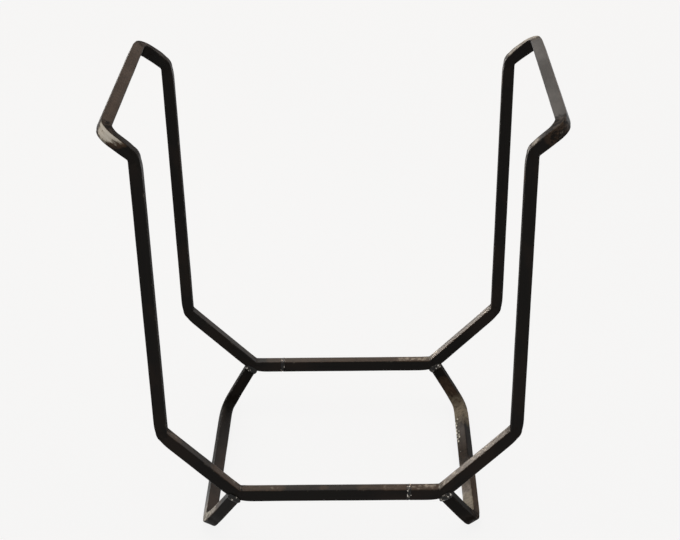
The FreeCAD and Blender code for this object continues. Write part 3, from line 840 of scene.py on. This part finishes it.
def bead_profile(bm):
    """Half the outline of a bead along its run, with blunt ends and shallow ripples."""
    count = RIPPLE_STEPS * round(BEAD_LENGTH / RIPPLE_PITCH)
    line = []
    for index in range(count + 1):
        x = BEAD_LENGTH * (index / count - 0.5)
        body = max(0.0, 1 - abs(2 * x / BEAD_LENGTH) ** BEAD_BLUNT) ** 0.5
        ripple = abs(math.sin(math.pi * x / RIPPLE_PITCH)) ** RIPPLE_ROUND
        radius = BEAD_CROWN * body * (1 - RIPPLE_DEPTH + RIPPLE_DEPTH * ripple)
        line.append(bm.verts.new((x, 0.0, radius)))
    return line + [bm.edges.new(pair) for pair in zip(line, line[1:])]


def weld_bead(side, end, face, glint_strength, rng):
    """A lumpy fillet bead along the joint between a corner and a leg, with faint ripples that bow along its
    run. end is the front or the back of the rack, face is the outer or the inner side of the bar there, and
    shine is how strong the glints painted along its top are."""
    down, level = splay(side)
    joint = corner_centre(side) + down * (CORNER_BEND + HALF_BAR + FOOT_GAP / 2 - BEAD_RAISE)
    joint.y = end * (LINE_Y + face * HALF_BAR)
    outward = Vector((0.0, end * face * math.cos(BEAD_TILT), 0.0)) + down * face * math.sin(BEAD_TILT)
    bm = bmesh.new()
    crest_glint = bm.verts.layers.float.new("crest_glint")
    bmesh.ops.spin(bm, geom=bead_profile(bm), cent=(0, 0, 0), axis=(1, 0, 0), angle=2 * math.pi,
                   steps=BEAD_SIDES, use_merge=True, use_duplicate=False)
    bmesh.ops.remove_doubles(bm, verts=bm.verts, dist=MERGE_DISTANCE)
    wander = rng.uniform(0.0, WANDER_RANGE)
    for vert in bm.verts:
        x, y, z = vert.co
        # Painted glints, strongest along the bead's top
        vert[crest_glint] = glint_strength * max(0.0, z / BEAD_CROWN)
        vert.co.x += RIPPLE_BOW * (y / BEAD_CROWN) ** 2
        lump = noise.noise(Vector((x / LUMP_LENGTH + wander, y / LUMP_WIDTH, z / LUMP_WIDTH)))
        vert.co.y = y * BEAD_WIDEN + BEAD_WANDER * noise.noise(Vector((x / WANDER_LENGTH, wander, 0.0)))
        vert.co.z = z * BEAD_FLATTEN + BEAD_LUMP * lump
    run = level * rng.choice((-1, 1))
    turn = Matrix((run, outward.cross(run), outward)).transposed().to_4x4()
    bmesh.ops.transform(bm, matrix=Matrix.Translation(joint) @ turn, verts=bm.verts)
    return bm


def make_bars():
    """The two hoops and the two feet."""
    for side, name in SIDES:
        bm = hoop(side)
        mark_rub_and_sheen(bm)
        dull_hoop(bm, side)
        finish_piece(bm, name + "_hoop_bar", name + "_hoop", BLACK_BAR)
        bm = foot(side)
        mark_rub_and_sheen(bm)
        dull_foot(bm, side)
        if side == 1:
            knock_right_foot(bm)
        finish_piece(bm, name + "_foot_bar", name + "_foot", BLACK_BAR)


def make_welds():
    """The two butt welds, and the two fillet beads at each of the four corners."""
    for side, name in ((1, "front"), (-1, "rear")):
        finish_piece(seam_weld(side), name + "_seam", name + "_seam_weld", BUTT_WELD[name])
    rng = random.Random(BEAD_SEED)
    for end, end_name in ((-1, "front"), (1, "rear")):
        for side, side_name in reversed(SIDES):
            for face, face_name in ((1, "outer"), (-1, "inner")):
                corner = end_name + "_" + side_name
                bead = weld_bead(side, end, face, BEAD_GLINT[end_name, side_name], rng)
                node = corner + "_foot_weld_" + face_name
                finish_piece(bead, corner + "_" + face_name + "_bead", node, FILLET_WELD)


# Floor and light
FLOOR_HALF = 400.0
PAPER_WHITE = 0.86
WORLD_LEVEL = 0.40
BACKDROP_LEVEL = 0.91
RACK_MIDDLE = (0.0, 0.0, 0.25)
RIGHT_SLANTS = (0.15, 0.0, 0.08)
OPEN_SPREAD = 180.0

# Each lamp's name, place, aim, width and height, watts, colour, and spread in degrees
SOFTBOXES = (
    ("ceiling_softbox", (0.0, 0.2, 2.4), RACK_MIDDLE, (1.6, 1.6), 6.0, "#fff6ec", OPEN_SPREAD),
    ("back_left_softbox", (-0.65, 3.0, 1.55), RACK_MIDDLE, (1.3, 0.9), 5.0, "#f5e8d6", OPEN_SPREAD),
    ("back_right_softbox", (0.65, 3.0, 1.55), RACK_MIDDLE, (1.3, 0.9), 4.8, "#e8ab74", OPEN_SPREAD),
    ("window_softbox", (-0.80, 1.75, 0.20), RIGHT_SLANTS, (0.6, 0.32), 0.30, "#fff6ea", 32.0),
    ("strip_softbox", (-2.0, 0.5, 0.75), RACK_MIDDLE, (0.4, 0.8), 0.45, "#fff6ea", 80.0),
)


def seen_as_backdrop(tree):
    """One where the backdrop is looked at, straight or in a reflection or refraction, and nought where it
    only gives light."""
    rays = add_node(tree, "ShaderNodeLightPath").outputs
    mirrored = add_node(tree, "ShaderNodeMath", {"operation": "MAXIMUM"}, {
        0: rays["Is Glossy Ray"], 1: rays["Is Transmission Ray"]}).outputs[0]
    return add_node(tree, "ShaderNodeMath", {"operation": "MAXIMUM"}, {
        0: rays["Is Camera Ray"], 1: mirrored}).outputs[0]


def studio_paper():
    """White background paper: matt, and pale enough that only the rack's soft shadow shows on it."""
    material = new_material("white_background_paper")
    tree = material.node_tree
    share = add_node(tree, "ShaderNodeMath", {"operation": "MULTIPLY"}, {
        0: seen_as_backdrop(tree), 1: PAPER_WHITE}).outputs[0]
    paper = add_node(tree, "ShaderNodeBsdfDiffuse", inputs={"Color": linear("#ebe9e5")}).outputs[0]
    white = add_node(tree, "ShaderNodeEmission", inputs={
        "Color": linear("#ffffff"), "Strength": 1.0}).outputs[0]
    mixed = add_node(tree, "ShaderNodeMixShader", inputs={0: share, 1: paper, 2: white}).outputs[0]
    add_node(tree, "ShaderNodeOutputMaterial", inputs={"Surface": mixed})
    return material


def lay_floor():
    """A plain sheet of white paper under the rack."""
    bm = bmesh.new()
    bmesh.ops.create_grid(bm, x_segments=1, y_segments=1, size=FLOOR_HALF)
    mesh = bpy.data.meshes.new("floor")
    bm.to_mesh(mesh)
    bm.free()
    mesh.materials.append(studio_paper())
    floor = bpy.data.objects.new("floor", mesh)
    bpy.context.scene.collection.objects.link(floor)


def light_world():
    """Even, low light from all round, which is as white as the floor where it is looked at or mirrored."""
    world = bpy.data.worlds.new("studio")
    bpy.context.scene.world = world
    world.use_nodes = True
    tree = world.node_tree
    tree.nodes.clear()
    sky = add_node(tree, "ShaderNodeBackground", inputs={
        "Color": linear("#fffaf4"), "Strength": WORLD_LEVEL}).outputs[0]
    white = add_node(tree, "ShaderNodeBackground", inputs={
        "Color": linear("#ffffff"), "Strength": BACKDROP_LEVEL}).outputs[0]
    mixed = add_node(tree, "ShaderNodeMixShader", inputs={
        0: seen_as_backdrop(tree), 1: sky, 2: white}).outputs[0]
    add_node(tree, "ShaderNodeOutputWorld", inputs={"Surface": mixed})


def softbox(name, place, aim, size, watts, colour, spread):
    """A flat area lamp that faces its aim, with a grid where its spread is narrowed."""
    lamp = bpy.data.lights.new(name, "AREA")
    lamp.shape = "RECTANGLE"
    lamp.size, lamp.size_y = size
    lamp.energy = watts
    lamp.spread = math.radians(spread)
    lamp.color = linear(colour)[:3]
    box = bpy.data.objects.new(name, lamp)
    box.location = place
    box.visible_camera = False
    box.rotation_euler = (Vector(aim) - Vector(place)).to_track_quat("-Z", "Y").to_euler()
    bpy.context.scene.collection.objects.link(box)


# The view: how far it is turned from straight on, looks down and is rolled, and where the rack's origin lies
# in it, to the right, down and ahead
VIEW_AZIMUTH = math.radians(-1.178)
VIEW_FALL = math.radians(24.009)
VIEW_ROLL = math.radians(-1.060)
ORIGIN_SEEN = Vector((2.639, 222.647, 1927.046)) * MM
LENS_MM = 90.0
SENSOR_MM = 36.0


def set_camera():
    """A long lens at the height and angle that the rack is seen from."""
    ahead = Vector((math.sin(VIEW_AZIMUTH) * math.cos(VIEW_FALL),
                    math.cos(VIEW_AZIMUTH) * math.cos(VIEW_FALL), -math.sin(VIEW_FALL)))
    level = Vector((math.cos(VIEW_AZIMUTH), -math.sin(VIEW_AZIMUTH), 0.0))
    upright = level.cross(ahead)
    right = level * math.cos(VIEW_ROLL) + upright * math.sin(VIEW_ROLL)
    up = upright * math.cos(VIEW_ROLL) - level * math.sin(VIEW_ROLL)
    lens = bpy.data.cameras.new("camera")
    lens.lens = LENS_MM
    lens.sensor_width = SENSOR_MM
    lens.sensor_fit = "HORIZONTAL"
    camera = bpy.data.objects.new("camera", lens)
    turn = Matrix((right, up, -ahead)).transposed().to_4x4()
    place = -(right * ORIGIN_SEEN.x - up * ORIGIN_SEEN.y + ahead * ORIGIN_SEEN.z)
    camera.matrix_world = Matrix.Translation(place) @ turn
    bpy.context.scene.collection.objects.link(camera)
    bpy.context.scene.camera = camera


make_bars()
make_welds()
lay_floor()
light_world()
for row in SOFTBOXES:
    softbox(*row)
set_camera()
bpy.context.scene.view_settings.view_transform = "Standard"
